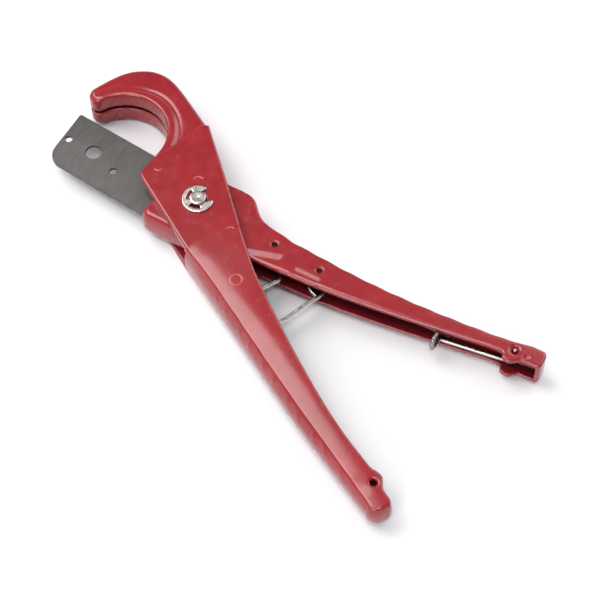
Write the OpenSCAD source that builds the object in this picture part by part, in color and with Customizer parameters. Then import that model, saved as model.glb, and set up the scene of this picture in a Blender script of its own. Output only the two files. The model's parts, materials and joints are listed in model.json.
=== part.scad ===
// Ratchetless scissor pipe cutter: a hooked jaw handle, a blade handle that turns on one
// headed pivot pin, a replaceable blade, a wire return spring and a wire latch bail.
// Frame: origin on the pivot axis, on the plane that the tool lies on. +X towards the jaw,
// along the jaw handle's axis, +Z up. Everything is symmetric about the mid plane.

/* [Castings] */
// Thickness of the jaw handle's head
head_t = 19; // [18:0.5:21]
// Thickness of the jaw handle at its free end
jaw_end_t = 12.5; // [11.5:0.5:13.5]
// Thickness of the blade handle
blade_handle_t = 12.4; // [12:0.1:12.6]
// Wall of both handle channels
wall = 2; // [1.8:0.1:2.4]
// Gap between the head's cheeks, where the blade handle's nose turns
pocket_t = 13; // [12.8:0.1:13.2]
// Thickness of the hook, which stands a little below the head plates
hook_t = 17; // [15:0.5:18]

/* [Throat and blade] */
// Radius of the round throat that holds the pipe
throat_r = 18; // [17:0.5:18.5]
// Distance from the pivot to the throat's centre, along the handle
throat_x = 44.8; // [44:0.2:46]
// Height of the throat's centre above the handle's axis
throat_y = 10.5; // [9.5:0.5:11]
// Thickness of the blade
blade_t = 1.5; // [1:0.1:1.6]
// Width of the slot in the hook that the blade drops into
slot_t = 2.1; // [2:0.1:2.6]
// Angle of the blade at rest
blade_rest = 26.6; // [24:0.2:29]
// Angle that the blade swings through to cut
closing = 22; // [18:1:22]

/* [Pivot] */
// Radius of the pivot pin
pin_r = 3.2; // [3:0.05:3.3]
// Radial running clearance of the pivot pin
run = 0.05; // [0.02:0.01:0.1]
// Outer radius of the E clip
clip_r = 6.15; // [5.5:0.05:6.5]
// Thickness of the E clip
clip_t = 0.9; // [0.7:0.1:1.2]

/* [Wires] */
// Radius of the latch bail's wire
bail_r = 0.9; // [0.8:0.05:0.9]
// Distance from the bail's hinge to its hook
bail_reach = 29; // [24:0.5:29]
// Radius of the return spring's wire
spring_r = 0.85; // [0.7:0.05:0.85]

/* [Hidden] */

enamel = [0.62, 0.13, 0.15];
blade_steel = [0.36, 0.35, 0.34];
bright_steel = [0.75, 0.73, 0.70];

round_fn = 96;
far = 400;
mid_z = head_t / 2;
handle_angle = 32;                 // blade handle's axis, from the jaw handle's
hole_reach = 136;                  // pivot to the cross hole at each handle's end
end_x = -147.5;                    // free end of both handles
end_hole_r = 1.25;                 // empty cross hole in the jaw handle
bail_hole_r = bail_r + 0.08;
spring_pin_r = 1.1;
spring_pin_recess = 1;
front_pin_at = [-35, 1.8];         // spring pins, in the blade handle's own axes
rear_pin_at = [-55.7, 4];

// Blade, in its own axes: its length runs along X and its cutting edge faces -Y
blade_front = 67.8;
blade_rear = -16.2;
blade_edge = -12.5;
blade_back = 13;
blade_corner_r = 7;
blade_bevel = 4.5;                 // width of the ground bevels
blade_land = 0.1;                  // half thickness left at the edge
blade_nick = 0.6;                  // small flats at the ends of the edge
blade_rake = 1.6;                  // how far the free end slants back towards the blade's spine
hole_pitch = 51.8;                 // between the two large holes
dowel_r = 1.45;
dowel_hole_r = 1.5;
outer_dowel = [-12.2, 0.3];
inner_dowel = [12.1, 3];

sweep_r = 69.6;                    // the slot's reach, just past the blade's tip
nose_r = 22.7;                     // room for the blade handle's nose
bore_r = pin_r + run;
pin_head_r = 6;
pin_head_t = 1.6;
pin_head_z = 0.1;                  // the head sits this far inside the rest plane
head_recess_r = pin_head_r + 0.2;  // round recess for it in the lower cheek
head_recess_t = 1.75;
pocket_back = 12.4;                // back limit of the room between the cheeks
pocket_open_x = -14.5;             // in front of this the pocket is open to the back
pocket_front_y = 2.4;
pocket_reach = 40;                 // how far the room goes behind the pivot
side_play = 0.05;                  // between the blade and its slot in the nose
slot_lead = 0.3;
clip_spoke = 3.2;                  // width of the clip's middle lobe
clip_mouth_w = 5;
clip_ring_in = 4.5;                // inner radius of the clip's ring
clip_lobe_at = 62;                 // angle of its two outer lobes from the mouth
clip_lobe_w = 2.2;
clip_gap = 0.05;
groove_r = 2.6;
pin_bevel = 0.3;
pin_end = clip_gap + clip_t + 0.9;

function on_circle(a) = [cos(a), sin(a)];
function arc(c, r, a0, a1, n) = [for (i = [0:n]) c + r * on_circle(a0 + (a1 - a0) * i / n)];
function turned(p, a) = [p[0] * cos(a) - p[1] * sin(a), p[0] * sin(a) + p[1] * cos(a)];

// ---- outlines, seen from above --------------------------------------------------------

throat_c = [throat_x, throat_y];

// Hook and the root that it grows from
hook_outline = concat(
    [[18, 2], [26.6, 5.6]],
    [for (a = [200, 240, 270, 300, 330, 358]) throat_c + (throat_r - 3) * [cos(a), sin(a)]],
    arc([66.3, 9.9], 4.3, 112, 12, 6),
    arc([51.2, -1], 20.2, 20, -44, 14),
    [[61.9, -17.7], [58, -19.2], [52, -19.9], [29, -20.6], [18, -17.8]]);

// Two plates of the head, down to the crease where the grip begins
head_outline = concat(
    [[-24, 14.3]],
    arc([20.4, 11], 3.3, 90, 15, 6),
    [[26.6, 5.6], [27, 2], [28.2, -6], [30.6, -12], [31.6, -18], [29.6, -20.6], [2.3, -14], [-24, -7.2]]);

// Grip of the jaw handle: the inner edge faces the other handle
grip_inner = [[-18, -8.6], [-35.7, -4.5], [-50.7, -2.5], [-65, -1.1], [-80, 0], [-100, 0.8],
    [-115, 0.5], [-125, -0.4]];
grip_boss = [[-130.4, -1], [-133.2, -2.3], [-135.6, -2.8], [-137.9, -1.6], [-140, -0.6], [-144, -0.8]];
grip_back = [[-120, 10.4], [-100, 12.1], [-80, 13], [-60, 13.7], [-35, 14.7], [-16, 15.3]];
grip_outline = concat(grip_inner, grip_boss,
    arc([end_x + 2.5, 1.6], 2.5, 260, 180, 4),
    arc([end_x + 4.5, 3.9], 4.5, 180, 95, 6),
    grip_back);

// Inside of the grip's channel, open towards the other handle
channel_outline = [[-14.5, -30], [-14.5, 4], [-16.4, 12.8], [-35, 12.2], [-60, 11.3], [-80, 10.6],
    [-100, 9.7],
    [-120, 8], [-138, 6.2], [end_x + wall, 5], [end_x + wall, -30]];

// Blade handle, in its own axes: nose, shoulder, grip and boss
nose_outline = concat(
    [for (p = arc([13.4, 12], 3.6, 90, 0, 5)) turned(p, blade_rest - handle_angle)],
    arc([0, 0], 15.2, -22, -112, 10));
handle_outer = [[-11.5, -14.1], [-16, -13.6], [-19.2, -11.8], [-24.4, -6.6], [-29.5, -4.6],
    [-36, -3.5], [-41, -2.6],
    [-52, -1.8], [-70, -0.6], [-90, -0.4], [-110, -1.2], [-130, -2.8], [-141.5, -4.8]];
handle_inner = [[-139.5, 2.9], [-137.9, 4.2], [-135.8, 5.5], [-133, 4.9], [-130.5, 2.5], [-115.6, 4.4],
    [-105.6, 5.7],
    [-85.6, 8.3], [-65.6, 10.4], [-50, 11.3], [-35.6, 11.8], [-22, 12.2], [-10, 15]];
handle_outline = concat(nose_outline, handle_outer,
    arc([end_x + 3, -2.2], 3, 240, 180, 4),
    arc([end_x + 1.6, 1], 1.6, 180, 90, 3),
    handle_inner);
handle_channel = [[-25, 30], [-25, -1], [-30, -2.3], [-41, -0.4], [-52, 0.3], [-70, 1.5], [-90, 1.7],
    [-110, 0.9], [-130, -0.7], [end_x + wall, -2.2], [end_x + wall, 30]];

blade_outline = concat(
    [[blade_rear, blade_edge + blade_nick], [blade_rear + blade_nick, blade_edge]],
    [[blade_front - blade_nick, blade_edge], [blade_front, blade_edge + blade_nick]],
    arc([blade_front - blade_rake - blade_corner_r, blade_back - blade_corner_r], blade_corner_r, 4, 90, 8),
    arc([blade_rear + blade_corner_r, blade_back - blade_corner_r], blade_corner_r, 90, 180, 8));

// ---- helpers --------------------------------------------------------------------------

module slab(points, t) translate([0, 0, mid_z - t / 2]) linear_extrude(t) polygon(points);
module round_hole(p, r) translate([p[0], p[1], -1]) cylinder(r = r, h = head_t + 2, $fn = round_fn);
module in_handle_axes() rotate([0, 0, handle_angle]) children();
module in_blade_axes() rotate([0, 0, blade_rest]) children();

// A solid whose thickness changes along X: stations are [x, half thickness]
module side_view(stations, w = far) {
    upper = [for (s = stations) [s[0], mid_z + s[1]]];
    lower = [for (i = [len(stations) - 1:-1:0]) [stations[i][0], mid_z - stations[i][1]]];
    translate([0, w / 2, 0]) rotate([90, 0, 0]) linear_extrude(w) polygon(concat(upper, lower));
}

// Room between the cheeks: the nose's circle, the open back and everything behind
module pocket() {
    translate([0, 0, mid_z - pocket_t / 2]) {
        cylinder(r = nose_r, h = pocket_t, $fn = round_fn);
        translate([-pocket_reach, -pocket_reach, 0])
            cube([pocket_reach, pocket_reach + pocket_back, pocket_t]);
        translate([pocket_open_x, pocket_front_y, 0]) cube([60, far, pocket_t]);
    }
}

// Room for the blade from fully open to fully closed
module blade_slot() {
    intersection() {
        translate([0, 0, mid_z - slot_t / 2]) cylinder(r = sweep_r, h = slot_t, $fn = round_fn);
        rotate([0, 0, blade_rest - closing]) translate([-5, blade_edge - 0.5, 0]) cube([far, far, head_t]);
    }
}

// ---- nodes ----------------------------------------------------------------------------

// Raised rim along the throat, on both faces of the hook
bead_w = 3.6;
module throat_bead() {
    t = hook_t + 1.2;
    intersection() {
        translate([throat_x, throat_y, mid_z - t / 2])
            cylinder(r = throat_r + bead_w, h = t, $fn = round_fn);
        slab(concat([throat_c], arc(throat_c, 40, 204, 354, 8)), head_t);
    }
}

module jaw_handle() {
    color(enamel) difference() {
        union() {
            difference() {
                union() {
                    slab(hook_outline, hook_t);
                    slab(head_outline, head_t);
                    throat_bead();
                }
                pocket();
                blade_slot();
            }
            difference() {
                intersection() {
                    slab(grip_outline, head_t);
                    side_view([[-14, head_t / 2], [-20, head_t / 2], [end_x, jaw_end_t / 2]]);
                }
                intersection() {
                    slab(channel_outline, head_t);
                    side_view([[-10, pocket_t / 2], [-60, pocket_t / 2], [end_x, jaw_end_t / 2 - wall]]);
                }
                pocket();
            }
        }
        round_hole(throat_c, throat_r);
        round_hole([0, 0], bore_r);
        round_hole([-hole_reach, 1.2], end_hole_r);
        translate([0, 0, -1]) cylinder(r = head_recess_r, h = 1 + head_recess_t, $fn = round_fn);
    }
}

module blade_handle() {
    color(enamel) difference() {
        in_handle_axes() difference() {
            slab(handle_outline, blade_handle_t);
            slab(handle_channel, blade_handle_t - 2 * wall);
            round_hole([-hole_reach, 0], bail_hole_r);
            round_hole(front_pin_at, spring_pin_r);
            round_hole(rear_pin_at, spring_pin_r);
        }
        in_blade_axes() {
            translate([blade_rear - slot_lead, -30, mid_z - blade_t / 2 - side_play])
                cube([60, 30 + blade_back + 2 * side_play, blade_t + 2 * side_play]);
            translate([0, 0, mid_z]) {
                dowel_bore(outer_dowel);
                dowel_bore(inner_dowel);
            }
        }
        round_hole([0, 0], bore_r);
    }
}

dowel_l = 9;
module dowel_bore(p)
    translate([p[0], p[1], -dowel_l / 2]) cylinder(r = dowel_r, h = dowel_l, $fn = round_fn);

module blade() {
    color(blade_steel) in_blade_axes() difference() {
        slab(blade_outline, blade_t);
        for (x = [0, hole_pitch]) round_hole([x, 0], bore_r);
        for (p = [outer_dowel, inner_dowel]) {
            round_hole(p, dowel_hole_r);
            round_hole([hole_pitch - p[0], p[1]], dowel_hole_r);
        }
        for (s = [-1, 1])
            translate([0, blade_edge, mid_z + s * blade_land])
                rotate([s * atan(blade_t / 2 / blade_bevel), 0, 0])
                    translate([-far / 2, -blade_bevel, s > 0 ? 0 : -5]) cube([far, 2 * blade_bevel, 5]);
    }
}

module dowel(p) color(bright_steel) in_blade_axes() translate([0, 0, mid_z]) dowel_bore(p);
module blade_pin_front() dowel(inner_dowel);
module blade_pin_rear() dowel(outer_dowel);

module pivot_pin() {
    top = head_t + pin_end;
    color(bright_steel) difference() {
        union() {
            translate([0, 0, pin_head_z]) cylinder(r = pin_head_r, h = pin_head_t, $fn = round_fn);
            translate([0, 0, pin_head_z])
                cylinder(r = pin_r, h = top - pin_head_z - pin_bevel, $fn = round_fn);
            translate([0, 0, top - pin_bevel])
                cylinder(r1 = pin_r, r2 = pin_r - pin_bevel, h = pin_bevel, $fn = round_fn);
        }
        translate([0, 0, head_t]) difference() {
            cylinder(r = pin_r + 1, h = clip_t + 2 * clip_gap, $fn = round_fn);
            translate([0, 0, -1]) cylinder(r = groove_r, h = clip_t + 3, $fn = round_fn);
        }
    }
}

clip_mouth = -96;                  // direction that the clip was pushed on from
clip_bore = groove_r + 0.02;
module e_clip() {
    color(bright_steel) translate([0, 0, head_t + clip_gap]) rotate([0, 0, clip_mouth]) difference() {
        union() {
            difference() {
                cylinder(r = clip_r, h = clip_t, $fn = round_fn);
                translate([0, 0, -1]) cylinder(r = clip_ring_in, h = clip_t + 2, $fn = round_fn);
            }
            translate([-clip_r + 1, -clip_spoke / 2, 0]) cube([clip_r - 2, clip_spoke, clip_t]);
            for (s = [-1, 1]) rotate([0, 0, s * clip_lobe_at])
                translate([1.5, -clip_lobe_w / 2, 0]) cube([clip_r - 2.4, clip_lobe_w, clip_t]);
        }
        translate([0, 0, -1]) cylinder(r = clip_bore, h = clip_t + 2, $fn = round_fn);
        translate([0, -clip_mouth_w / 2, -1]) cube([clip_r + 1, clip_mouth_w, clip_t + 2]);
    }
}

module spring_pin(p) {
    l = blade_handle_t - 2 * spring_pin_recess;
    color(bright_steel) in_handle_axes() translate([p[0], p[1], mid_z - l / 2])
        cylinder(r = spring_pin_r - 0.02, h = l, $fn = round_fn);
}
module spring_pin_front() spring_pin(front_pin_at);
module spring_pin_rear() spring_pin(rear_pin_at);

// Latch bail: its turned-out ends are the hinge, its two legs lie inside the channel
bail_half = blade_handle_t / 2 - wall - bail_r - 0.1;
bail_end = blade_handle_t / 2 - 0.3;
bail_tip = [-hole_reach + bail_reach, 4.2];
bail_hook = bail_tip + [0.3, 5.2];
bail_bend = 1.3;

// Points round a bend from direction a to direction b at a corner
function bend(p, a, b, r, n = 4) =
    [for (i = [0:n]) p + r * (1 - sin(90 * i / n)) * -a + r * (1 - cos(90 * i / n)) * b];
bail_leg = unit([bail_tip[0] + hole_reach, bail_tip[1], 0]);
bail_out = unit([bail_hook[0] - bail_tip[0], bail_hook[1] - bail_tip[1], 0]);
function at(p, z) = [p[0], p[1], z];
bail_route = concat(
    [[-hole_reach, 0, bail_end - 1.5]],
    bend([-hole_reach, 0, bail_half], [0, 0, -1], bail_leg, bail_bend),
    bend(at(bail_tip, bail_half), bail_leg, bail_out, bail_bend),
    bend(at(bail_hook, bail_half), bail_out, [0, 0, -1], bail_bend),
    bend(at(bail_hook, -bail_half), [0, 0, -1], -bail_out, bail_bend),
    bend(at(bail_tip, -bail_half), -bail_out, -bail_leg, bail_bend),
    bend([-hole_reach, 0, -bail_half], -bail_leg, [0, 0, -1], bail_bend),
    [[-hole_reach, 0, 1.5 - bail_end]]);

module latch_bail() {
    color(bright_steel) in_handle_axes() translate([0, 0, mid_z]) {
        swept_wire(bail_route, bail_r - 0.02, 12);
        for (z = [-bail_end, bail_half + 0.6])
            translate([-hole_reach, 0, z])
                cylinder(r = bail_r, h = bail_end - bail_half - 0.6, $fn = round_fn);
    }
}

// Return spring: an eye round each spring pin, two legs, and a crown inside the jaw handle
eye_r = spring_pin_r + spring_r + 0.1;
function on_handle(p, z) = concat(turned(p, handle_angle), [z]);
function eye(c, a0, a1, z0, z1, n) = [for (i = [0:n])
    on_handle(c + eye_r * on_circle(a0 + (a1 - a0) * i / n), z0 + (z1 - z0) * i / n)];
spring_route = concat(
    [on_handle([-38.5, 3.6], -1.9), on_handle([-37.2, 3], -1.9)],
    eye(front_pin_at, 100, -160, -1.9, 0, 9),
    [on_handle([-39.3, 5.8], 0), on_handle([-41.9, 9.3], 0)],
    [[-42.2, -12.4, 0], [-42.2, -9, 0], [-42.3, -5.5, 0], [-42.4, 2, 0], [-42.8, 7, 0],
     [-44.6, 9.6, 0], [-48, 10.2, 0], [-53, 10.1, 0], [-56.6, 9.2, 0], [-58.4, 6.6, 0],
     [-58.9, 2, 0], [-58.7, -4, 0], [-58, -10, 0], [-56.9, -16, 0]],
    [on_handle([-59.8, 9.6], 0), on_handle([-59, 6.6], 0)],
    eye(rear_pin_at, 190, 350, 0, -0.9, 6),
    [on_handle([-53.3, 6], -1.5), on_handle([-54, 8.4], -1.9), on_handle([-56, 9.6], -2),
     on_handle([-58.9, 10.7], -2)]);

function unit(v) = v / norm(v);
function heading(path, i) = unit(path[min(i + 1, len(path) - 1)] - path[max(i - 1, 0)]);
function ring(path, i, r, n) =
    let (t = heading(path, i), side = unit(cross(t, [0.02, 0.01, 1])), up = cross(side, t))
    [for (k = [0:n - 1]) path[i] + r * (cos(360 * k / n) * side + sin(360 * k / n) * up)];

// Round wire swept along a list of points
module swept_wire(path, r, n = 8) {
    last = len(path) - 1;
    points = [for (i = [0:last]) each ring(path, i, r, n)];
    sides = [for (i = [0:last - 1], k = [0:n - 1])
        [i * n + k, i * n + (k + 1) % n, (i + 1) * n + (k + 1) % n, (i + 1) * n + k]];
    caps = [[for (k = [n - 1:-1:0]) k], [for (k = [0:n - 1]) last * n + k]];
    polyhedron(points = points, faces = concat(sides, caps), convexity = 4);
}

module return_spring() color(bright_steel) translate([0, 0, mid_z]) swept_wire(spring_route, spring_r);

jaw_handle();
blade_handle();
blade();
blade_pin_front();
blade_pin_rear();
pivot_pin();
e_clip();
return_spring();
spring_pin_front();
spring_pin_rear();
latch_bail();
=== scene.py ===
import json
import math

import bpy
import numpy as np
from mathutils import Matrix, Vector
from mathutils.geometry import delaunay_2d_cdt


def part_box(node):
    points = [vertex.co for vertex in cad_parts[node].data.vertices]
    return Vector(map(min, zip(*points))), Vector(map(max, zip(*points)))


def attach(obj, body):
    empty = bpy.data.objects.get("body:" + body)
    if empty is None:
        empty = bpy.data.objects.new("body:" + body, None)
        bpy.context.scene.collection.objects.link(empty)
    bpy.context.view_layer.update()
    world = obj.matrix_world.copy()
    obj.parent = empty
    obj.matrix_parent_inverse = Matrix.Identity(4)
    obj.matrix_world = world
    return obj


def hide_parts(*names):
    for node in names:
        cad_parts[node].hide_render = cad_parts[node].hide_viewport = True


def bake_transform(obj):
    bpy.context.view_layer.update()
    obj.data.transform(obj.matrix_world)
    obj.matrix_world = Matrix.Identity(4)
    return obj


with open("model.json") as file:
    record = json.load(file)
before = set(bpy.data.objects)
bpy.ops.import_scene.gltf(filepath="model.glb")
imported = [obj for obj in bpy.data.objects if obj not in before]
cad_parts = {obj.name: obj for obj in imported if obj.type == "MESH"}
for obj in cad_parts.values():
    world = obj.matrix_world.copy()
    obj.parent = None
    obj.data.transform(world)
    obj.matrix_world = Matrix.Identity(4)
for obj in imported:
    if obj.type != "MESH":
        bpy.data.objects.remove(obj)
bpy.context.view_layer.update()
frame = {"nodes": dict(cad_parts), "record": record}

# Pipe cutter. Shapes are drawn in mm with the pivot at the origin and the jaw handle along -x;
# the blade handle is drawn along its own -x axis and then turned. new_object() scales to metres.

MM = 0.001
joints = {j["name"]: j for j in frame["record"]["behaviour"]["joints"]}
MID = joints["cutting_hinge"]["pos_m"][2] / MM            # height of the mid plane, mm
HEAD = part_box("jaw_handle")[1].z / MM - MID               # half the head's thickness
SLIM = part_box("blade_handle")[1].z / MM - MID             # half the blade handle's thickness
TURN = math.radians(32)                                   # blade handle's axis
BLADE_TURN = math.radians(26.6)                           # blade's axis at rest
THROAT, THROAT_R = (44.8, 10.5), 18.0
END_X, HOLE_X = -147.5, -136.0                            # handles' ends and their cross holes
END_HALF = 6.25                                           # half the jaw handle's thickness at its end
PIVOT_R, DOWEL_R, PIN_R = 3.25, 1.5, 1.05                 # bores
DOWELS = ((-12.2, 0.3), (12.1, 3))                        # in the blade's axes
FRONT_PIN, REAR_PIN = (-35, 1.8), (-55.7, 4)              # spring's pins, in the blade handle's axes
KNOB_PITCH, RIPPLE_PITCH = 17.2, 10.5
POCKET_R, POCKET_HALF = 22.7, 6.5                         # room between the cheeks of the head


# ---------------------------------------------------------------- plane curves, mm

def arc(c, r, a0, a1, n):
    """Points along an arc, between two angles in degrees."""
    a = np.radians(np.linspace(a0, a1, n + 1))
    return [(c[0] + r * math.cos(t), c[1] + r * math.sin(t)) for t in a]


def spline(points, n):
    """Smooth curve through the points, in the plane or in space, with n steps between two of them."""
    p = [np.array(q, float) for q in points]
    p = [2 * p[0] - p[1]] + p + [2 * p[-1] - p[-2]]
    out = []
    for i in range(1, len(p) - 2):
        a, b, c, d = p[i - 1], p[i], p[i + 1], p[i + 2]
        for k in range(n):
            t = k / n
            out.append(0.5 * (2 * b + (c - a) * t + (2 * a - 5 * b + 4 * c - d) * t ** 2
                              + (3 * b - a - 3 * c + d) * t ** 3))
    out.append(p[-2])
    return [tuple(q) for q in out]


def turned(points, angle):
    """Points turned about the pivot, by an angle in radians."""
    c, s = math.cos(angle), math.sin(angle)
    return [(x * c - y * s, x * s + y * c) for x, y in points]


# ---------------------------------------------------------------- distance fields

class Field:
    """Signed distance to a closed outline, kept on a fine lattice and read between its points."""

    def __init__(self, outline, box, step=0.3):
        self.x0, self.y0, self.step = box[0], box[1], step
        xs = np.arange(box[0], box[2] + step, step)
        ys = np.arange(box[1], box[3] + step, step)
        X, Y = np.meshgrid(xs, ys, indexing="ij")
        P = np.array(outline, float)
        best = np.full(X.shape, 1e9)
        inside = np.zeros(X.shape, bool)
        for a, b in zip(P, np.roll(P, -1, 0)):
            e = b - a
            squared = e @ e
            if squared < 1e-12:
                continue
            wx, wy = X - a[0], Y - a[1]
            t = np.clip((wx * e[0] + wy * e[1]) / squared, 0, 1)
            best = np.minimum(best, (wx - e[0] * t) ** 2 + (wy - e[1] * t) ** 2)
            if abs(e[1]) > 1e-12:
                inside ^= ((a[1] > Y) != (b[1] > Y)) & (X < e[0] * (Y - a[1]) / e[1] + a[0])
        self.v = np.where(inside, -1, 1) * np.sqrt(best)

    def __call__(self, x, y):
        u = np.clip((x - self.x0) / self.step, 0, self.v.shape[0] - 1.001)
        w = np.clip((y - self.y0) / self.step, 0, self.v.shape[1] - 1.001)
        i, j = u.astype(int), w.astype(int)
        u, w = u - i, w - j
        v = self.v
        return ((v[i, j] * (1 - u) + v[i + 1, j] * u) * (1 - w)
                + (v[i, j + 1] * (1 - u) + v[i + 1, j + 1] * u) * w)


def smooth_max(a, b, k):
    """Intersection blended over a width of about k."""
    h = np.clip(0.5 + 0.5 * (a - b) / k, 0, 1)
    return b + (a - b) * h + k * h * (1 - h)


def smooth_min(a, b, k):
    return -smooth_max(-a, -b, k)


def round_max(a, b, r):
    """Intersection whose edge is rounded to radius r."""
    u, v = np.maximum(a + r, 0), np.maximum(b + r, 0)
    return np.minimum(np.maximum(a, b), -r) + np.sqrt(u * u + v * v)


def cut(f, tool, lip):
    """Takes the tool out of the shape and rounds the rim to the radius lip."""
    return round_max(f, -tool, lip)


def step_up(x, a, b):
    """Smooth rise from 0 at a to 1 at b."""
    t = np.clip((x - a) / (b - a), 0, 1)
    return t * t * (3 - 2 * t)


def hump(x, centre, width):
    return np.exp(-((x - centre) / width) ** 2)


def rod(x, y, c, r):
    """Upright round rod."""
    return np.hypot(x - c[0], y - c[1]) - r


# ---------------------------------------------------------------- meshes

def surface_net(field, lo, hi, step):
    """Quads and points, mm, of the zero level of field(x, y, z)."""
    axes = [np.arange(lo[k], hi[k] + step, step) for k in range(3)]
    f = np.empty([len(a) for a in axes])
    for k in range(0, len(axes[0]), 64):
        X, Y, Z = np.meshgrid(axes[0][k:k + 64], axes[1], axes[2], indexing="ij")
        f[k:k + 64] = field(X.ravel(), Y.ravel(), Z.ravel()).reshape(X.shape)
    inside = f < 0
    shape = np.array(f.shape) - 1

    def corner(a, d):
        return a[d[0]:d[0] + shape[0], d[1]:d[1] + shape[1], d[2]:d[2] + shape[2]]

    corners = [(i, j, k) for i in (0, 1) for j in (0, 1) for k in (0, 1)]
    count = sum(corner(inside, d).astype(np.int8) for d in corners)
    cells = np.argwhere((count > 0) & (count < 8))
    index = np.full(shape, -1)
    index[tuple(cells.T)] = np.arange(len(cells))
    total, hits = np.zeros((len(cells), 3)), np.zeros(len(cells))
    for d in corners:
        for axis in range(3):
            if d[axis]:
                continue
            e = list(d)
            e[axis] = 1
            fa = f[tuple((cells + d).T)]
            fb = f[tuple((cells + e).T)]
            hit = (fa < 0) != (fb < 0)
            t = np.where(hit, fa / np.where(hit, fa - fb, 1), 0)
            p = np.array(d, float)[None].repeat(len(cells), 0)
            p[:, axis] += t
            total += p * hit[:, None]
            hits += hit
    points = np.array(lo) + (cells + total / hits[:, None]) * step
    quads = []
    for axis in range(3):
        u, v = [a for a in range(3) if a != axis]
        a = np.moveaxis(inside, (axis, u, v), (0, 1, 2))
        ids = np.moveaxis(index, (axis, u, v), (0, 1, 2))
        a0, a1 = a[:-1, 1:-1, 1:-1], a[1:, 1:-1, 1:-1]
        i, j, k = np.nonzero(a0 != a1)
        q = np.stack([ids[i, j, k], ids[i, j + 1, k], ids[i, j + 1, k + 1], ids[i, j, k + 1]], 1)
        flip = a1[i, j, k] ^ (axis == 1)
        q[flip] = q[flip][:, ::-1]
        quads.append(q)
    return points, np.concatenate(quads)


def settle(field, points, reach):
    """Moves the points onto the zero level along its slope, at most by reach each time."""
    e = 0.04
    for _ in range(3):
        x, y, z = points.T
        g = np.stack([field(x + e, y, z) - field(x - e, y, z),
                      field(x, y + e, z) - field(x, y - e, z),
                      field(x, y, z + e) - field(x, y, z - e)], 1) / (2 * e)
        f = field(x, y, z)
        move = -f[:, None] * g / np.maximum((g * g).sum(1), 0.15)[:, None]
        size = np.linalg.norm(move, axis=1, keepdims=True)
        points = points + move * np.minimum(1, reach / np.maximum(size, 1e-9))
    return points


def new_object(name, points, faces, sharp=None):
    """A smooth object whose points are given in mm; edges over the angle sharp, in degrees, stay sharp."""
    me = bpy.data.meshes.new(name)
    points = np.asarray(points, float) * MM
    me.vertices.add(len(points))
    me.vertices.foreach_set("co", points.astype(np.float32).ravel())
    sizes = np.array([len(f) for f in faces])
    flat = np.concatenate([np.asarray(f, int) for f in faces])
    me.loops.add(len(flat))
    me.loops.foreach_set("vertex_index", flat.astype(np.int32))
    me.polygons.add(len(sizes))
    starts = np.concatenate([[0], np.cumsum(sizes)[:-1]])
    me.polygons.foreach_set("loop_start", starts.astype(np.int32))
    me.update(calc_edges=True)
    me.validate()
    me.polygons.foreach_set("use_smooth", [True] * len(me.polygons))
    if sharp is not None:
        me.set_sharp_from_angle(angle=math.radians(sharp))
    obj = bpy.data.objects.new(name, me)
    bpy.context.scene.collection.objects.link(obj)
    return obj


def casting(name, field, lo, hi, step, body, node, turn=0.0):
    """The solid where field is negative, meshed at the given step, in place of a CAD node."""
    points, quads = surface_net(field, lo, hi, step)
    points = settle(field, points, 0.6 * step)
    c, s = math.cos(turn), math.sin(turn)
    points = points @ np.array([[c, s, 0], [-s, c, 0], [0, 0, 1]])
    obj = new_object(name, points, quads)
    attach(obj, body)
    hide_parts(node)
    return obj


def tube(name, route, r, sides, n):
    """Round wire along a smooth curve through the route, with rounded ends."""
    p = np.array(spline(route, n))
    keep = [0] + [i for i in range(1, len(p)) if np.linalg.norm(p[i] - p[i - 1]) > 1e-4]
    p = p[keep]
    t = np.gradient(p, axis=0)
    t /= np.linalg.norm(t, axis=1, keepdims=True)
    up = np.cross(t[0], [0.3, 0.2, 1.0])
    rings, radii = [], []
    stations = [(p[0] - t[0] * r * k, r * q, 0) for k, q in ((0.75, 0.45), (0.45, 0.8))]
    stations += [(q, r, i) for i, q in enumerate(p)]
    stations += [(p[-1] + t[-1] * r * k, r * q, len(p) - 1) for k, q in ((0.45, 0.8), (0.75, 0.45))]
    angles = np.linspace(0, 2 * np.pi, sides, endpoint=False)
    for q, radius, i in stations:
        up = up - t[i] * (up @ t[i])
        up /= np.linalg.norm(up)
        side = np.cross(t[i], up)
        rings.append(q + radius * (np.cos(angles)[:, None] * up + np.sin(angles)[:, None] * side))
    m = len(rings)
    faces = []
    for i in range(m - 1):
        for k in range(sides):
            ahead = (k + 1) % sides
            faces.append((i * sides + k, i * sides + ahead, (i + 1) * sides + ahead, (i + 1) * sides + k))
    faces.append(tuple(range(sides - 1, -1, -1)))
    faces.append(tuple((m - 1) * sides + k for k in range(sides)))
    return new_object(name, np.concatenate(rings), faces)


def lathe(name, profile, n=96):
    """Turned piece about the pivot's axis, from (radius, height) stations."""
    points, faces = [], []
    a = np.linspace(0, 2 * np.pi, n, endpoint=False)
    for r, z in profile:
        points += [(r * math.cos(t), r * math.sin(t), z) for t in a]
    for i in range(len(profile) - 1):
        for k in range(n):
            ahead = (k + 1) % n
            faces.append((i * n + k, i * n + ahead, (i + 1) * n + ahead, (i + 1) * n + k))
    faces.append(tuple(range(n - 1, -1, -1)))
    faces.append(tuple((len(profile) - 1) * n + k for k in range(n)))
    return new_object(name, points, faces, sharp=32)


# ---------------------------------------------------------------- jaw handle

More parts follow.
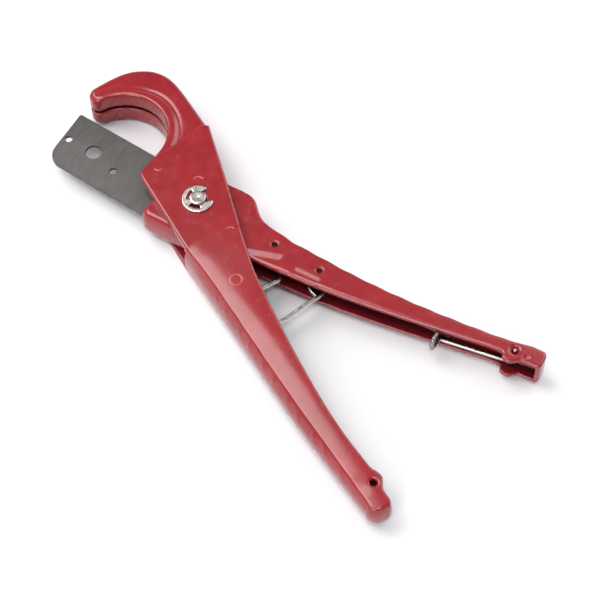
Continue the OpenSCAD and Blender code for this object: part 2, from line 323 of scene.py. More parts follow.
HOOK = ([(18, 2), (26.6, 5.6)]
        + [(THROAT[0] + 15 * math.cos(math.radians(a)), THROAT[1] + 15 * math.sin(math.radians(a)))
           for a in (200, 240, 270, 300, 330, 358)]
        + arc((66.3, 9.9), 4.3, 112, 16, 12)
        + spline([(70.6, 9.6), (71, 6.4), (71.3, 3.2), (71.4, 0.5)], 5)
        + arc((51.2, -1), 20.2, -1, -44, 22)
        + spline([(64.2, -16.3), (61.7, -17.8), (58, -19.1), (52, -19.9), (44, -20.2)], 5)
        + [(29, -20.6), (18, -17.8)])
PLATE = ([(-18, 14.3)] + arc((20.4, 11), 3.3, 90, 15, 10)
         + [(26.6, 5.6), (27, 2), (28.2, -6), (30.6, -12), (31.6, -18), (29.6, -20.6),
            (2.3, -14), (-18, -8.8)])
INNER = [(-18, -8.6), (-35.7, -4.5), (-50.7, -2.5), (-65, -1.1), (-80, 0), (-100, 0.8),
         (-115, 0.5), (-125, -0.4)]
BOSS = [(-130.4, -1), (-133.2, -2.3), (-135.6, -2.8), (-137.9, -1.6), (-140, -0.6), (-144, -0.8)]
BACK = [(-142.5, 8.3), (-120, 10.4), (-100, 12.1), (-80, 13), (-60, 13.7), (-35, 14.7), (-16, 15.3)]
TOP_BACK = [(-141, 6.6), (-115, 7.9), (-90, 9.3), (-60, 10.7), (-35, 11.9), (-24, 13.1), (-16, 14.3)]
EDGE = spline(INNER + BOSS, 5)
GRIP = (EDGE + arc((END_X + 2.5, 1.6), 2.5, 260, 180, 6) + arc((END_X + 4.5, 3.9), 4.5, 180, 95, 8)
        + spline(BACK, 5))
GRIP_TOP = (EDGE[:-1] + arc((-144, 1.4), 2.2, 260, 180, 6) + arc((-142.6, 3.2), 3.6, 180, 100, 8)
            + spline(TOP_BACK, 5))
CHANNEL = [(-14.5, -30), (-14.5, 4), (-16.4, 12.8), (-35, 12.2), (-60, 11.3), (-80, 10.6), (-100, 9.7),
           (-120, 8), (-138, 6.2), (END_X + 2, 5), (END_X + 2, -30)]
# where the crease along the top lies, from the inner edge (0) to the back (1), by the distance from
# the pivot; and half the channel's width
CREASE = [16, 20, 28, 34, 50, 70, 110, 140], [1.05, 0.9, 0.82, 0.8, 0.66, 0.5, 0.42, 0.5]
CHANNEL_HALF = [0, 60, 129, 131.5, 140, 142, -END_X], [6.5, 6.5, 4.7, 1.9, 1.9, 4.3, 4.25]
SWEEP_R, SLOT_HALF, SLOT_TURN = 69.6, 1.05, math.radians(4.6)

jaw_area = (-152, -26, 76, 22)
d_hook, d_plate = Field(HOOK, jaw_area), Field(PLATE, jaw_area)
d_grip, d_grip_top, d_channel = (Field(f, jaw_area) for f in (GRIP, GRIP_TOP, CHANNEL))
top_back_x, top_back_y = np.array(TOP_BACK).T
inner_x, inner_y = np.array(sorted(INNER + BOSS)).T


def jaw_field(x, y, z):
    w = np.abs(z - MID)
    away = np.hypot(x - THROAT[0], y - THROAT[1]) - THROAT_R
    # hook: raised bead round the throat, a valley, then a crowned outer body
    tip = step_up(x, 50, 64)
    rim = 4.4 - 1.2 * tip                                  # outer edge of the bead
    bead = (0.5 - 0.2 * tip) * step_up(rim - away, 0, 1.6)
    valley = (1 - 0.8 * tip) * 0.3 * hump(away, rim + 0.5, 0.9)
    height = 8.15 + bead - valley
    f = round_max(d_hook(x, y), (w - height) * 0.92, 2.4)
    # head plates stand a little proud of the hook
    plate = round_max(d_plate(x, y), w - HEAD, 0.6)
    f = smooth_min(f, plate, 0.6)
    f = round_max(f, -away, 0.9)
    # grip: tapers to its end, its top slopes to the back from a soft crease, its back wall bulges
    level = HEAD - (HEAD - END_HALF) * np.clip((-x - 24) / (-END_X - 24), 0, 1)
    y0, y1 = np.interp(x, inner_x, inner_y), np.interp(x, top_back_x, top_back_y)
    crease = y0 + (y1 - y0) * np.interp(-x, *CREASE)
    past = y - crease
    slope = 0.5 * (past + np.sqrt(past * past + 12)) * step_up(-x, 14.5, 20)
    near = 0.5 * (-past + np.sqrt(past * past + 4)) - 1.0
    top = level - 0.125 * slope - 0.035 * near * step_up(-x, 30, 50)
    s = np.clip(w / level, 0, 1) ** 2.4
    # pairs of small knobs at an even pitch along the back wall
    u = (x + 30) / KNOB_PITCH
    gap = KNOB_PITCH * np.minimum(np.abs(u - np.round(u)), np.abs(u - 0.4 - np.round(u - 0.4)))
    knob = 0.55 * np.exp(-(gap / 1.0) ** 2 - ((w - 0.62 * level) / 1.3) ** 2) * step_up(y, 6, 9)
    knob = knob * step_up(-x, 34, 42) * step_up(x, -134, -126)
    side = (d_grip(x, y) - knob) * (1 - s) + d_grip_top(x, y) * s
    grip = round_max(side, (w - top) * 0.97, 0.55)
    grip = round_max(grip, x + 14, 0.3)
    # channel and the room between the cheeks
    half = np.interp(-x, *CHANNEL_HALF)
    pocket = np.minimum(rod(x, y, (0, 0), POCKET_R),
                        np.minimum(np.maximum(np.abs(x + 20) - 20, np.abs(y + 13.8) - 26.2),
                                   np.maximum(np.abs(x - 15.5) - 30, np.abs(y - 12.4) - 10)))
    pocket = round_max(pocket, w - POCKET_HALF, 0.5)
    grip = cut(grip, round_max(d_channel(x, y), w - half, 1.2), 0.5)
    f = np.minimum(cut(f, pocket, 0.2), cut(grip, pocket, 0.2))
    # slot for the blade
    edge = -(y * math.cos(SLOT_TURN) - x * math.sin(SLOT_TURN)) - 13
    slot = np.maximum(np.maximum(rod(x, y, (0, 0), SWEEP_R), edge), w - SLOT_HALF)
    f = np.where(x > 15, cut(f, slot, 0.35), f)
    # bores, and the recess for the pin's head underneath
    f = cut(f, rod(x, y, (0, 0), PIVOT_R), 0.3)
    sunk = 1.25 + np.maximum(w - (level - 1.1), 0) * 0.5
    f = cut(f, rod(x, y, (HOLE_X, 1.2), sunk), 0.25)
    f = cut(f, np.maximum(rod(x, y, (0, 0), 6.2), z - 1.75), 0.25)
    return f


jaw = casting("jaw_casting", jaw_field, (-149, -23, -1), (73, 17, 20), 0.5,
              "jaw_side", "jaw_handle")

# ---------------------------------------------------------------- blade handle, in its own axes

NOSE = turned(arc((13.4, 12), 3.6, 90, 0, 8), BLADE_TURN - TURN) + arc((0, 0), 15.2, -22, -112, 20)
OUTER = [(-11.5, -14.1), (-16, -13.6), (-19.2, -11.8), (-24.4, -6.6), (-29.5, -4.6), (-36, -3.5), (-41, -2.6),
         (-52, -1.8), (-70, -0.6), (-90, -0.4), (-110, -1.2), (-130, -2.8), (-141.5, -4.8)]
LIP = [(-139.5, 2.9), (-137.9, 4.2), (-135.8, 5.5), (-133, 4.9), (-130.5, 2.5), (-115.6, 4.4), (-105.6, 5.7),
       (-85.6, 8.3), (-65.6, 10.4), (-50, 11.3), (-35.6, 11.8), (-22, 12.2), (-10, 15)]
HANDLE = (NOSE + spline(OUTER, 5) + arc((END_X + 3, -2.2), 3, 240, 180, 6)
          + arc((END_X + 1.6, 1), 1.6, 180, 90, 5) + spline(LIP, 5))
TROUGH = [(-25, 30), (-25, -1), (-30, -2.3), (-41, -0.4), (-52, 0.3), (-70, 1.5), (-90, 1.7), (-110, 0.9),
          (-130, -0.7), (END_X + 2, -2.2), (END_X + 2, 30)]

handle_area = (-152, -22, 26, 22)
d_handle, d_trough = Field(HANDLE, handle_area), Field(TROUGH, handle_area)
lip_x, lip_y = np.array(LIP).T


def handle_field(x, y, z):
    w = np.abs(z - MID)
    lip = np.interp(x, lip_x, lip_y) - y
    nose = step_up(x, -20, -12) * step_up(y, 6, 10)
    chamfer = 0.4 * np.clip(1.2 - lip, 0, 3) * step_up(-x, 24, 27) * step_up(x, -131, -127)
    front = np.clip(y - np.interp(x, [-40, -27], [4.4, 8.4]), 0, 2.7) * step_up(-x, 25, 27)
    rear = np.clip(y - 6.9, 0, 1.6) * step_up(-x, 46, 47.5) * step_up(x, -59, -57)
    facet = 0.12 * front * step_up(x, -41, -39.6) + 0.12 * rear
    groove = 0.16 * hump(x + 19.4 + 0.3 * (y + 3.8), 0, 0.35)
    groove = groove * step_up(y, -6.8, -6) * step_up(-y, 0.5, 1.5)
    top = SLIM - chamfer - facet - groove
    s = np.clip(w / SLIM, 0, 1)
    wave = 0.2 * np.cos(2 * np.pi * (x + 36) / RIPPLE_PITCH) * step_up(-x, 30, 40)
    wave = wave * step_up(x, -138, -128) * step_up(-y, -2.5, 0.5)
    side = d_handle(x, y) - wave * (1 - 0.5 * s ** 2) + nose * (1.5 * s ** 3 - 0.5)
    f = round_max(side, (w - top) * 0.97, 0.75)
    bevel = (side + w - top + 0.7) * 0.7071 - 4 * (1 - step_up(x, -20, -14) * step_up(y, 5, 8))
    f = round_max(f, bevel, 0.2)
    f = cut(f, round_max(d_trough(x, y), w - 4.2, 0.8), 0.45)
    # bores with small countersinks
    flare = np.maximum(w - (SLIM - 0.55), 0)
    for p in (FRONT_PIN, REAR_PIN):
        f = cut(f, rod(x, y, p, PIN_R + 0.6 * flare), 0.2)
    f = cut(f, rod(x, y, (HOLE_X, 0), 0.98 + 1.3 * np.maximum(w - (SLIM - 0.9), 0)), 0.2)
    f = cut(f, np.hypot(rod(x, y, (-141.2, 1.2), 0), (w - SLIM - 0.9)) - 1.6, 0.2)
    # slot in the nose for the blade, and the pivot bore
    c, t = math.cos(BLADE_TURN - TURN), math.sin(BLADE_TURN - TURN)
    bx, by = x * c + y * t, -x * t + y * c
    slot = np.maximum(np.maximum(np.maximum(-16.5 - bx, by - 13.1), w - 0.8), -30 - by)
    f = cut(f, slot, 0.25)
    f = cut(f, rod(x, y, (0, 0), PIVOT_R), 0.3)
    for p in DOWELS:
        f = np.maximum(f, -np.maximum(rod(bx, by, p, 1.45), w - 4.5))
    return f


handle = casting("blade_casting", handle_field, (-149, -19, 2.5), (24, 18, 16.5), 0.5,
                 "blade_side", "blade_handle", TURN)

# ---------------------------------------------------------------- pivot pin and clip

TOP_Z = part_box("pivot_pin")[1].z / MM
UPPER = 2 * MID                                           # the head's upper face
pin = lathe("pivot_pin_turned", [
    (5.2, 0.1), (5.8, 0.3), (6, 0.6), (6, 1.45), (5.85, 1.65), (3.2, 1.7), (3.2, UPPER),
    (2.6, UPPER + 0.02), (2.6, UPPER + 0.98), (3.2, UPPER + 1.0), (3.2, TOP_Z - 0.35),
    (3.05, TOP_Z - 0.12), (2.8, TOP_Z - 0.03), (2.35, TOP_Z), (2.2, TOP_Z - 0.12),
    (2.05, TOP_Z - 0.02), (1.35, TOP_Z - 0.05), (1.2, TOP_Z - 0.16), (1.05, TOP_Z - 0.06),
    (0.5, TOP_Z - 0.1), (0.35, TOP_Z - 0.2), (0.1, TOP_Z - 0.22)])
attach(pin, "jaw_side")
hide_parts("pivot_pin")

clip_lo, clip_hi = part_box("e_clip")
clip_z, clip_half = (clip_lo.z + clip_hi.z) / 2 / MM, (clip_hi.z - clip_lo.z) / 2 / MM
CLIP_OUT, CLIP_IN = clip_hi.x / MM, 2.62
MOUTH = math.radians(-96)


def clip_field(x, y, z):
    c, s = math.cos(MOUTH), math.sin(MOUTH)
    u, v = x * c + y * s, -x * s + y * c                   # u points out of the mouth
    r = np.hypot(u, v)
    f = np.maximum(r - CLIP_OUT, CLIP_IN - r)
    back = np.degrees(np.arctan2(np.abs(v), -u))           # 0 opposite the mouth
    window = np.maximum(np.abs(r - 3.65) - 1.05, np.maximum(20 - back, back - 82) * 0.06)
    f = smooth_max(f, -window, 0.5)
    mouth = np.maximum(np.abs(v) - np.interp(u, [1.2, 3, 7], [2.3, 2.7, 3.0]), -u)
    f = smooth_max(f, -mouth, 1.1)
    return round_max(f, np.abs(z - clip_z) - clip_half, 0.22)


clip = casting("e_clip_stamped", clip_field, (-6.6, -6.6, clip_z - 0.75), (6.6, 6.6, clip_z + 0.75),
               0.14, "jaw_side", "e_clip")

# ---------------------------------------------------------------- blade

def offset(loop, d):
    """The closed loop, anticlockwise, moved inwards by d."""
    p = np.array(loop, float)
    t = np.roll(p, -1, 0) - np.roll(p, 1, 0)
    t /= np.linalg.norm(t, axis=1, keepdims=True)
    return p + d * np.stack([-t[:, 1], t[:, 0]], 1)


def flat_blade(name, outline, holes, half, edge_y, bevel, thin):
    """Ground plate with softened rims: each outline is a stack of rings, and the faces are filled."""
    def depth(q):
        return half - (half - thin) * np.clip((edge_y + bevel - q[:, 1]) / bevel, 0, 1)

    points, faces, inner = [], [], {1: [], -1: []}
    for loop in [outline] + holes:
        n = len(loop)
        stack = [(0.12, 0.0), (0.05, 0.05), (0.0, 0.12)]
        rings = [(1, o, d) for o, d in stack] + [(-1, o, d) for o, d in reversed(stack)]
        start = len(points)
        for sign, o, d in rings:
            q = offset(loop, o)
            z = sign * np.maximum(depth(q) - d, 0.02)
            points += [(a, b, c) for (a, b), c in zip(q, z)]
        for i in range(len(rings) - 1):
            for k in range(n):
                ahead = (k + 1) % n
                a, b = start + i * n, start + (i + 1) * n
                faces.append((a + k, b + k, b + ahead, a + ahead))
        inner[1].append(range(start, start + n))
        inner[-1].append(range(start + 5 * n, start + 6 * n))
    crease = edge_y + bevel
    for sign in (1, -1):
        ids = [i for loop in inner[sign] for i in loop]
        flat = [Vector(points[i][:2]) for i in ids]
        edges, at = [], 0
        for loop in inner[sign]:
            n = len(loop)
            edges += [(at + k, at + (k + 1) % n) for k in range(n)]
            at += n
        xs = [points[i][0] for i in inner[sign][0] if abs(points[i][1] - crease) < 2.5]
        extra = [Vector((x, crease)) for x in (min(xs) + 0.13, max(xs) - 0.13)]
        edges.append((len(flat), len(flat) + 1))
        verts, _, tris, origin, _, _ = delaunay_2d_cdt(flat + extra, edges, [], 0, 1e-6, True)
        new = []
        for v, o in zip(verts, origin):
            if o and o[0] < len(ids):
                new.append(ids[o[0]])
            else:
                points.append((v.x, v.y, sign * float(depth(np.array([[v.x, v.y]]))[0])))
                new.append(len(points) - 1)
        poly = [np.array(loop) for loop in [offset(outline, 0.12)] + [offset(h, 0.12) for h in holes]]
        for t in tris:
            c = sum((verts[i] for i in t), Vector((0, 0))) / 3
            if inside_loop(poly[0], c) and not any(inside_loop(h, c) for h in poly[1:]):
                f = [new[i] for i in t]
                faces.append(f if sign > 0 else f[::-1])
    c, s = math.cos(BLADE_TURN), math.sin(BLADE_TURN)
    points = [(x * c - y * s, x * s + y * c, z + MID) for x, y, z in points]
    return new_object(name, points, faces, sharp=26)


def inside_loop(loop, c):
    """Whether the point c is inside the closed loop."""
    a, b = loop, np.roll(loop, -1, 0)
    with np.errstate(divide="ignore", invalid="ignore"):
        hit = ((a[:, 1] > c.y) != (b[:, 1] > c.y)) & (
            c.x < (b[:, 0] - a[:, 0]) * (c.y - a[:, 1]) / (b[:, 1] - a[:, 1]) + a[:, 0])
    return bool(hit.sum() % 2)


FRONT, REAR, EDGE_Y, BACK_Y, CORNER, RAKE = 67.8, -16.2, -12.5, 13, 7, 1.6
HOLE_PITCH = 51.8
BLADE_HALF, BEVEL, THIN = 0.75, 4.5, 0.12                 # half thickness, bevel's width, half at the edge
around = ([(REAR, EDGE_Y + 0.6), (REAR + 0.6, EDGE_Y)] + [(x, EDGE_Y) for x in range(-12, 68, 8)]
          + [(FRONT - 0.6, EDGE_Y), (FRONT, EDGE_Y + 0.6)]
          + arc((FRONT - RAKE - CORNER, BACK_Y - CORNER), CORNER, 4, 90, 20)
          + [(x, BACK_Y) for x in range(56, -8, -8)]
          + arc((REAR + CORNER, BACK_Y - CORNER), CORNER, 90, 180, 20) + [(REAR, EDGE_Y + 3)])
bores = [((x, 0), PIVOT_R) for x in (0, HOLE_PITCH)]
for p in DOWELS:
    bores += [(p, DOWEL_R), ((HOLE_PITCH - p[0], p[1]), DOWEL_R)]
bores = [arc(c, r, 360, 0, 40)[:-1] for c, r in bores]
blade = flat_blade("ground_blade", around, bores, BLADE_HALF, EDGE_Y, BEVEL, THIN)
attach(blade, "blade_side")
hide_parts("blade")

# ---------------------------------------------------------------- wires

def bend(p, a, b, r):
    """Round corner of radius r at p, between the directions a and b."""
    n = 4
    p, a, b = (np.array(v, float) for v in (p, a, b))
    return [p - r * (1 - math.sin(math.radians(90 * i / n))) * a
            + r * (1 - math.cos(math.radians(90 * i / n))) * b for i in range(n + 1)]


def place(route, turn=TURN):
    """A route in the blade handle's axes, about the mid plane, put in the frame."""
    c, s = math.cos(turn), math.sin(turn)
    return [(x * c - y * s, x * s + y * c, z + MID) for x, y, z in route]


WIRE_R, LEG, REACH = 0.88, 3.2, 29.0                      # bail: radius, half its width, reach of the hook
SPRING_R = 0.84
tip = np.array([HOLE_X + REACH, 4.2])
hook_end = tip + [0.3, 5.2]
leg = np.append(tip - [HOLE_X, 0], 0)
leg /= np.linalg.norm(leg)
out = np.append(hook_end - tip, 0)
out /= np.linalg.norm(out)
down = np.array([0, 0, -1.0])
bail_route = ([(HOLE_X, 0, SLIM - 0.35), (HOLE_X, 0, SLIM - 1.5)]
              + bend((HOLE_X, 0, LEG), down, leg, 1.2)
              + bend((tip[0], tip[1] - 1.1, LEG), leg, out, 1.3) + bend((*hook_end, LEG), out, down, 1.3)
              + bend((*hook_end, -LEG), down, -out, 1.3) + bend((*tip, -LEG), -out, -leg, 1.3)
              + bend((HOLE_X, 0, -LEG), -leg, down, 1.2)
              + [(HOLE_X, 0, 1.5 - SLIM), (HOLE_X, 0, 0.35 - SLIM)])
bail = tube("latch_bail_wire", place(bail_route), WIRE_R, 16, 3)
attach(bail, "bail")
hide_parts("latch_bail")


def eye(c, a0, a1, z0, z1, n):
    """Turn of the wire round a pin, from the height z0 to z1."""
    r = 1.1 + 0.85 + 0.1
    return [(c[0] + r * math.cos(math.radians(a0 + (a1 - a0) * i / n)),
             c[1] + r * math.sin(math.radians(a0 + (a1 - a0) * i / n)),
             z0 + (z1 - z0) * i / n) for i in range(n + 1)]


# the crown lies in the jaw handle's channel, so it is in the frame's axes
crown = [(-42.2, -12.4, 0), (-42.2, -9, 0), (-42.3, -5.5, 0), (-42.4, 2, 0), (-42.8, 7, 0),
         (-44.6, 9.6, 0), (-48, 10.2, 0), (-53, 10.1, 0), (-56.6, 9.2, 0), (-58.4, 6.6, 0),
         (-58.9, 2, 0), (-58.7, -4, 0), (-58, -10, 0), (-56.9, -16, 0)]
spring_route = (place([(-38.5, 3.6, -1.9), (-37.2, 3, -1.9)] + eye(FRONT_PIN, 100, -160, -1.9, 0, 14)
                      + [(-39.3, 5.8, 0), (-41.9, 9.3, 0)])
                + place(crown, 0)
                + place([(-59.8, 9.6, 0), (-59, 6.6, 0)] + eye(REAR_PIN, 190, 350, 0, -0.9, 9)
                        + [(-53.3, 6, -1.5), (-54, 8.4, -1.9), (-56, 9.6, -2), (-58.9, 10.7, -2)]))
spring = tube("return_spring_wire", spring_route, SPRING_R, 14, 4)
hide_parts("return_spring")
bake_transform(spring)

# ---------------------------------------------------------------- materials

def material(name):
    m = bpy.data.materials.new(name)
    m.use_nodes = True
    nt = m.node_tree
    return m, nt, nt.nodes["Principled BSDF"]


def node(nt, kind, **values):
    n = nt.nodes.new(kind)
    for k, v in values.items():
        setattr(n, k, v)
    return n


def ramp(nt, source, stops):
    """Colour of the source from (position, colour) stops."""
    n = nt.nodes.new("ShaderNodeValToRGB")
    while len(n.color_ramp.elements) < len(stops):
        n.color_ramp.elements.new(0.5)
    for e, (p, col) in zip(n.color_ramp.elements, stops):
        e.position, e.color = p, (*col, 1)
    nt.links.new(source, n.inputs["Fac"])
    return n.outputs["Color"]


def noise(nt, coords, scale, detail=4.0, rough=0.5, stretch=None):
    if stretch:
        m = node(nt, "ShaderNodeMapping")
        m.inputs["Scale"].default_value = stretch
        nt.links.new(coords, m.inputs["Vector"])
        coords = m.outputs["Vector"]
    n = nt.nodes.new("ShaderNodeTexNoise")
    n.inputs["Scale"].default_value = scale
    n.inputs["Detail"].default_value = detail
    n.inputs["Roughness"].default_value = rough
    nt.links.new(coords, n.inputs["Vector"])
    return n.outputs["Fac"]


def bump(nt, height, strength, distance, normal=None):
    b = nt.nodes.new("ShaderNodeBump")
    b.inputs["Strength"].default_value = strength
    b.inputs["Distance"].default_value = distance
    nt.links.new(height, b.inputs["Height"])
    if normal is not None:
        nt.links.new(normal, b.inputs["Normal"])
    return b.outputs["Normal"]


def maths(nt, operation, a, b=None):
    n = node(nt, "ShaderNodeMath", operation=operation)
    nt.links.new(a, n.inputs[0])
    if b is not None:
        if isinstance(b, (int, float)):
            n.inputs[1].default_value = b
        else:
            nt.links.new(b, n.inputs[1])
    return n.outputs[0]


def fade(nt, source, start, end, low=0.0, high=1.0):
    """The source taken smoothly from low at start to high at end."""
    n = node(nt, "ShaderNodeMapRange", interpolation_type="SMOOTHSTEP")
    for k, v in (("From Min", start), ("From Max", end), ("To Min", low), ("To Max", high)):
        n.inputs[k].default_value = v
    nt.links.new(source, n.inputs["Value"])
    return n.outputs["Result"]


def raised_arc(nt, pos, x, y, radius, toward=None, reach=0.0):
    """Height of a thin line cast on the top face of the head; toward and reach keep one side of it."""
    shift = node(nt, "ShaderNodeVectorMath", operation="SUBTRACT")
    shift.inputs[1].default_value = (x * MM, y * MM, 0)
    flat = node(nt, "ShaderNodeVectorMath", operation="MULTIPLY")
    flat.inputs[1].default_value = (1, 1, 0)
    far = node(nt, "ShaderNodeVectorMath", operation="LENGTH")
    nt.links.new(pos, shift.inputs[0])
    nt.links.new(shift.outputs["Vector"], flat.inputs[0])
    nt.links.new(flat.outputs["Vector"], far.inputs[0])
    off = maths(nt, "ABSOLUTE", maths(nt, "SUBTRACT", far.outputs["Value"], radius * MM))
    line = fade(nt, off, 0.0, 0.45 * MM, 1.0, 0.0)
    if toward:
        dot = node(nt, "ShaderNodeVectorMath", operation="DOT_PRODUCT")
        dot.inputs[1].default_value = (*toward, 0)
        nt.links.new(flat.outputs["Vector"], dot.inputs[0])
        side = fade(nt, dot.outputs["Value"], (reach - 0.3) * MM, (reach + 0.3) * MM)
        line = maths(nt, "MULTIPLY", line, side)
    return line


def enamel():
    m, nt, p = material("red_enamel")
    pos = nt.nodes.new("ShaderNodeTexCoord").outputs["Object"]
    tone = ramp(nt, noise(nt, pos, 60, 3),
                [(0.3, (0.205, 0.0062, 0.0095)), (0.7, (0.245, 0.0085, 0.0125))])
    # small generic casting marks on the top of the jaw side: thin raised rings in the bump, whose lighter
    # pink, on one side only where a direction is given, is a painted highlight
    up, low = (0.87, -0.49), (-0.87, 0.49)
    marks = raised_arc(nt, pos, -38.9, 4.2, 2.3)
    for x, y, r, toward, reach in (
            (7.8, -4.4, 2.0, up, 1.0), (21.4, 6.1, 1.6, low, 0.8), (-18.7, -4.3, 1.6, up, 0.9)):
        marks = maths(nt, "ADD", marks, raised_arc(nt, pos, x, y, r, toward, reach))
    axes = node(nt, "ShaderNodeSeparateXYZ")
    nt.links.new(pos, axes.inputs[0])
    marks = maths(nt, "MULTIPLY", marks, fade(nt, axes.outputs["Z"], (MID + 7.3) * MM, (MID + 7.6) * MM))
    # painted highlight: the rings are mixed towards a light pink
    painted_mark_highlight = node(nt, "ShaderNodeMix", data_type="RGBA")
    painted_mark_highlight.inputs[7].default_value = (0.62, 0.16, 0.15, 1)
    nt.links.new(maths(nt, "MULTIPLY", marks, noise(nt, pos, 900, 3)), painted_mark_highlight.inputs[0])
    nt.links.new(tone, painted_mark_highlight.inputs[6])
    tone = painted_mark_highlight.outputs[2]
    # painted shade: the base colour goes near-black and the gloss is dimmed in the channels and holes, where
    # the ambient occlusion finds the surface enclosed
    painted_shade_ao = node(nt, "ShaderNodeAmbientOcclusion", samples=8)
    painted_shade_ao.only_local = True
    painted_shade_ao.inputs["Distance"].default_value = 0.02
    unshaded = fade(nt, painted_shade_ao.outputs["AO"], 0.3, 0.8, 0.04, 1.0)
    mix = node(nt, "ShaderNodeMix", data_type="RGBA")
    mix.inputs[6].default_value = (0.06, 0.006, 0.008, 1)
    nt.links.new(unshaded, mix.inputs[0])
    nt.links.new(tone, mix.inputs[7])
    nt.links.new(mix.outputs[2], p.inputs["Base Color"])
    p.inputs["IOR"].default_value = 1.5
    nt.links.new(maths(nt, "MULTIPLY", unshaded, 0.5), p.inputs["Specular IOR Level"])
    nt.links.new(maths(nt, "MULTIPLY", unshaded, 0.35), p.inputs["Coat Weight"])
    rough = ramp(nt, noise(nt, pos, 250, 4), [(0.3, (0.2,) * 3), (0.75, (0.3,) * 3)])
    nt.links.new(rough, p.inputs["Roughness"])
    p.inputs["Coat Roughness"].default_value = 0.12
    n = bump(nt, marks, 0.35, 0.0003)
    n = bump(nt, noise(nt, pos, 110, 2), 0.05, 0.0006, n)
    n = bump(nt, noise(nt, pos, 900, 2), 0.06, 0.0002, n)
    nt.links.new(n, p.inputs["Normal"])
    return m


def metal(name, dark, light, rough0, rough1, grain, reach=0.004):
    """Metal with mottled tone, fine grain (frequency along x, y, z) and painted shade: a darker colour within
    reach of a corner or a nearby part.
    """
    m, nt, p = material(name)
    pos = nt.nodes.new("ShaderNodeTexCoord").outputs["Object"]
    p.inputs["Metallic"].default_value = 1.0
    tone = ramp(nt, noise(nt, pos, 120, 4), [(0.3, dark), (0.7, light)])
    # painted shade: the base colour goes dark where the ambient occlusion finds other surfaces within reach
    painted_shade_ao = node(nt, "ShaderNodeAmbientOcclusion", samples=8)
    painted_shade_ao.inputs["Distance"].default_value = reach
    mix = node(nt, "ShaderNodeMix", data_type="RGBA")
    mix.inputs[6].default_value = (0.04, 0.03, 0.03, 1)
    nt.links.new(fade(nt, painted_shade_ao.outputs["AO"], 0.15, 0.85), mix.inputs[0])
    nt.links.new(tone, mix.inputs[7])
    nt.links.new(mix.outputs[2], p.inputs["Base Color"])
    rough = ramp(nt, noise(nt, pos, 400, 4), [(0.3, (rough0,) * 3), (0.7, (rough1,) * 3)])
    nt.links.new(rough, p.inputs["Roughness"])
    nt.links.new(bump(nt, noise(nt, pos, 1, 5, 0.6, grain), 0.12, 0.00003), p.inputs["Normal"])
    return m


def blade_metal():
    m, nt, p = material("ground_blade")
    pos = nt.nodes.new("ShaderNodeTexCoord").outputs["Object"]
    turn = node(nt, "ShaderNodeMapping")
    turn.inputs["Rotation"].default_value = (0, 0, -BLADE_TURN)
    nt.links.new(pos, turn.inputs["Vector"])
    along = turn.outputs["Vector"]
    p.inputs["Metallic"].default_value = 0.7
    tone = ramp(nt, noise(nt, along, 1, 6, 0.6, (1100, 160, 40)),
                [(0.25, (0.078, 0.073, 0.07)), (0.75, (0.116, 0.108, 0.104))])
    nt.links.new(tone, p.inputs["Base Color"])
    rough = ramp(nt, noise(nt, along, 1, 5, 0.6, (900, 90, 60)), [(0.3, (0.42,) * 3), (0.7, (0.55,) * 3)])
    nt.links.new(rough, p.inputs["Roughness"])
    nt.links.new(bump(nt, noise(nt, along, 1, 5, 0.6, (2400, 120, 80)), 0.3, 0.00003), p.inputs["Normal"])
    return m


ENAMEL = enamel()
STEEL = metal("bright_nickel", (0.64, 0.59, 0.53), (0.76, 0.71, 0.65), 0.22, 0.3, (500,) * 3, 0.0015)
WIRE_METAL = metal("drawn_wire", (0.6, 0.59, 0.56), (0.78, 0.77, 0.74), 0.18, 0.32, (1200,) * 3, 0.011)
# painted shade: the spring pins sit deep in their bores, and their near-black tone stands in for the shade
# there
SHADED_PIN_METAL = metal("spring_pin_painted_shade", (0.012, 0.007, 0.006), (0.03, 0.018, 0.016), 0.45, 0.65, (900,) * 3)
PIN_METAL = metal("turned_pin", (0.36, 0.33, 0.3), (0.48, 0.445, 0.41), 0.26, 0.38, (500,) * 3, 0.0015)
# painted shade: the bail's wire is toned darker than the spring's, standing in for the shade over it in the
# channel
SHADED_BAIL_METAL = metal("bail_wire_painted_shade", (0.3, 0.265, 0.255), (0.46, 0.42, 0.4), 0.22, 0.34, (1200,) * 3, 0.011)
BLADE = blade_metal()


def dress(obj, mat):
    obj.data.materials.clear()
    obj.data.materials.append(mat)


for o in (jaw, handle):
    dress(o, ENAMEL)
dress(pin, PIN_METAL)
dress(clip, STEEL)
dress(bail, SHADED_BAIL_METAL)
dress(spring, WIRE_METAL)
for n in ("spring_pin_front", "spring_pin_rear"):
    dress(frame["nodes"][n], SHADED_PIN_METAL)
for n in ("blade_pin_front", "blade_pin_rear"):
    dress(frame["nodes"][n], STEEL)
dress(blade, BLADE)

# ---------------------------------------------------------------- floor, light and camera

CENTRE = Vector((-0.04, -0.02, 0))


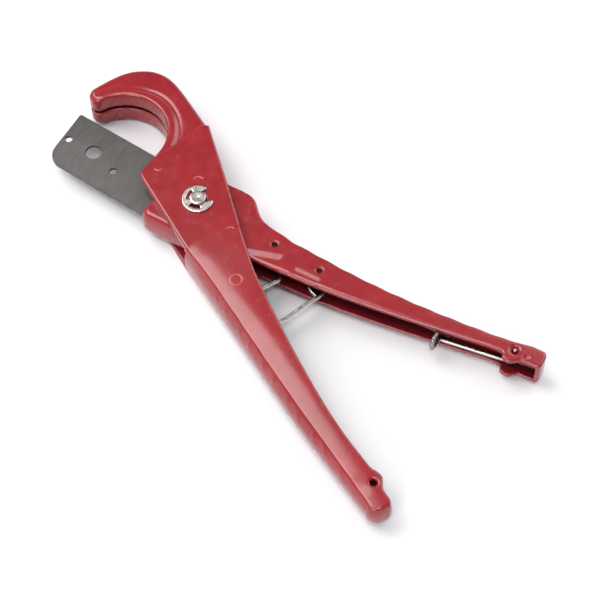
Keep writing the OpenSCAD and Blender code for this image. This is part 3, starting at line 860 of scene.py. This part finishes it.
def area_light(name, distance, direction, size, power):
    """Square soft light, seen from the tool's centre at a distance in a direction."""
    d = bpy.data.lights.new(name, "AREA")
    d.shape, d.size, d.size_y = "RECTANGLE", size, size
    d.energy = power
    o = bpy.data.objects.new(name, d)
    bpy.context.scene.collection.objects.link(o)
    o.location = CENTRE + distance * Vector(direction)
    o.rotation_euler = (CENTRE - o.location).to_track_quat("-Z", "Y").to_euler()


FAR = 3000
floor = new_object("floor", [(-FAR, -FAR, 0), (FAR, -FAR, 0), (FAR, FAR, 0), (-FAR, FAR, 0)], [(0, 1, 2, 3)])
fm, fnt, fp = material("pale_floor")
fp.inputs["Base Color"].default_value = (0.69, 0.682, 0.695, 1)
fp.inputs["Roughness"].default_value = 0.9
fp.inputs["Specular IOR Level"].default_value = 0.1
dress(floor, fm)

world = bpy.data.worlds.new("studio")
bpy.context.scene.world = world
world.use_nodes = True
wnt = world.node_tree
height = wnt.nodes.new("ShaderNodeSeparateXYZ")
wnt.links.new(wnt.nodes.new("ShaderNodeTexCoord").outputs["Generated"], height.inputs["Vector"])
sky = ramp(wnt, height.outputs["Z"], [
    (0.0, (0.95, 0.96, 1.0)), (0.12, (0.8, 0.81, 0.84)), (0.5, (0.22, 0.225, 0.24)),
    (0.85, (0.14, 0.145, 0.16))])
wnt.links.new(sky, wnt.nodes["Background"].inputs["Color"])
wnt.nodes["Background"].inputs["Strength"].default_value = 1.0

area_light("key", 1.1, (0.40, 0.30, 0.866), 0.85, 13)
area_light("top", 1.0, (-0.30, 0.16, 0.94), 0.22, 2.8)
area_light("right", 1.2, (0.15, -0.74, 0.65), 0.9, 7)
area_light("front", 1.2, (-0.45, 0.75, 0.48), 0.5, 7)

cam = bpy.data.cameras.new("camera")
cam.sensor_width, cam.lens = 36, 110.3
cam.shift_x, cam.shift_y = -0.0035, 0.0018
cam.clip_start, cam.clip_end = 0.01, 10
camera = bpy.data.objects.new("camera", cam)
bpy.context.scene.collection.objects.link(camera)
camera.location = Vector((-0.3688, 0.1617, 0.6095))
camera.rotation_euler = Vector((0.314, -0.1772, -0.600)).to_track_quat("-Z", "Y").to_euler()
bpy.context.scene.camera = camera
bpy.context.scene.view_settings.view_transform = "Standard"
